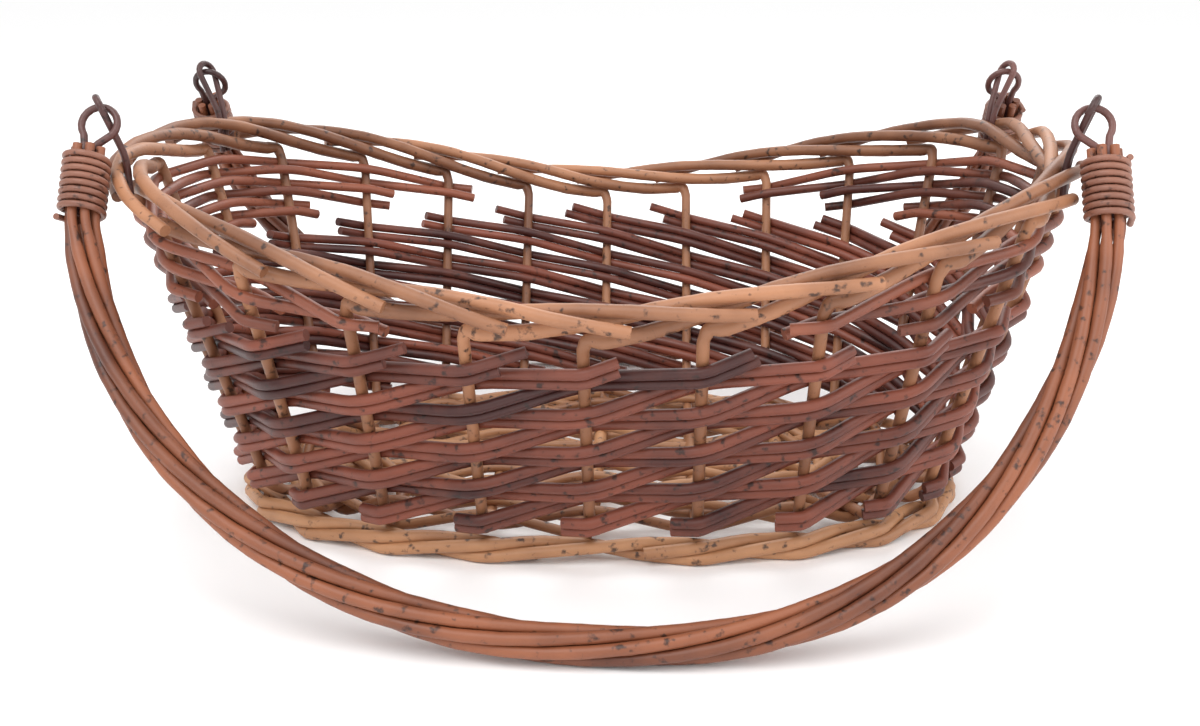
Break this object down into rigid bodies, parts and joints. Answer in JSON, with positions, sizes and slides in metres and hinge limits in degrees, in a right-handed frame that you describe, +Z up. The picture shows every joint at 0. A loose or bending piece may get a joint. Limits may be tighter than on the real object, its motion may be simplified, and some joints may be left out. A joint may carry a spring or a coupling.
{
  "type": "woven basket",
  "caption": "Oval basket woven from rods, with a rim that rises at its ends and two swinging arched handles hung from linked eyes.",
  "frame": {"origin": "on the ground under the middle of the basket", "axes": "+X along the length, -Y to the front, +Z up"},
  "size_m": [0.4858, 0.4196, 0.2208],
  "materials": {
    "stake_rod": "satin",
    "weaver_rod": "satin",
    "base_rod": "satin",
    "handle_rod": "satin",
    "wrap_rod": "satin",
    "eye_rod": "satin"
  },
  "bodies": {
    "basket": {"base_cross_sticks": "base_rod", "base_long_sticks": "base_rod", "base_inner_weave": "base_rod", "base_outer_weave": "base_rod", "bottom_wale": "base_rod", "left_end_packing": "weaver_rod", "right_end_packing": "weaver_rod", "rim_eyes": "eye_rod", "stake_pair_01": "stake_rod", "stake_pair_02": "stake_rod", "stake_pair_03": "stake_rod", "stake_pair_04": "stake_rod", "stake_pair_05": "stake_rod", "stake_pair_06": "stake_rod", "stake_pair_07": "stake_rod", "stake_pair_08": "stake_rod", "stake_pair_09": "stake_rod", "stake_pair_10": "stake_rod", "stake_pair_11": "stake_rod", "stake_pair_12": "stake_rod", "side_weaver_pair_01": "weaver_rod", "side_weaver_pair_02": "weaver_rod", "side_weaver_pair_03": "weaver_rod", "side_weaver_pair_04": "weaver_rod", "side_weaver_pair_05": "weaver_rod", "side_weaver_pair_06": "weaver_rod", "side_weaver_pair_07": "weaver_rod", "side_weaver_pair_08": "weaver_rod", "side_weaver_pair_09": "weaver_rod", "side_weaver_pair_10": "weaver_rod", "side_weaver_pair_11": "weaver_rod", "side_weaver_pair_12": "weaver_rod", "side_weaver_pair_13": "weaver_rod", "side_weaver_pair_14": "weaver_rod", "side_weaver_pair_15": "weaver_rod", "side_weaver_pair_16": "weaver_rod", "side_weaver_pair_17": "weaver_rod", "side_weaver_pair_18": "weaver_rod", "side_weaver_pair_19": "weaver_rod", "side_weaver_pair_20": "weaver_rod", "side_weaver_pair_21": "weaver_rod", "side_weaver_pair_22": "weaver_rod", "side_weaver_pair_23": "weaver_rod", "side_weaver_pair_24": "weaver_rod"},
    "front_handle": {"front_handle_core": "handle_rod", "front_handle_strands": "handle_rod", "front_handle_wraps": "wrap_rod", "front_handle_eyes": "eye_rod"},
    "rear_handle": {"rear_handle_core": "handle_rod", "rear_handle_strands": "handle_rod", "rear_handle_wraps": "wrap_rod", "rear_handle_eyes": "eye_rod"}
  },
  "joints": [
    {"name": "front_handle_swing", "type": "hinge", "parent": "basket", "child": "front_handle", "pos_m": [0, -0.07785, 0.21468], "axis": [-1, 0, 0], "range_deg": [0, 160]},
    {"name": "rear_handle_swing", "type": "hinge", "parent": "basket", "child": "rear_handle", "pos_m": [0, 0.07785, 0.21468], "axis": [1, 0, 0], "range_deg": [0, 160]}
  ]
}
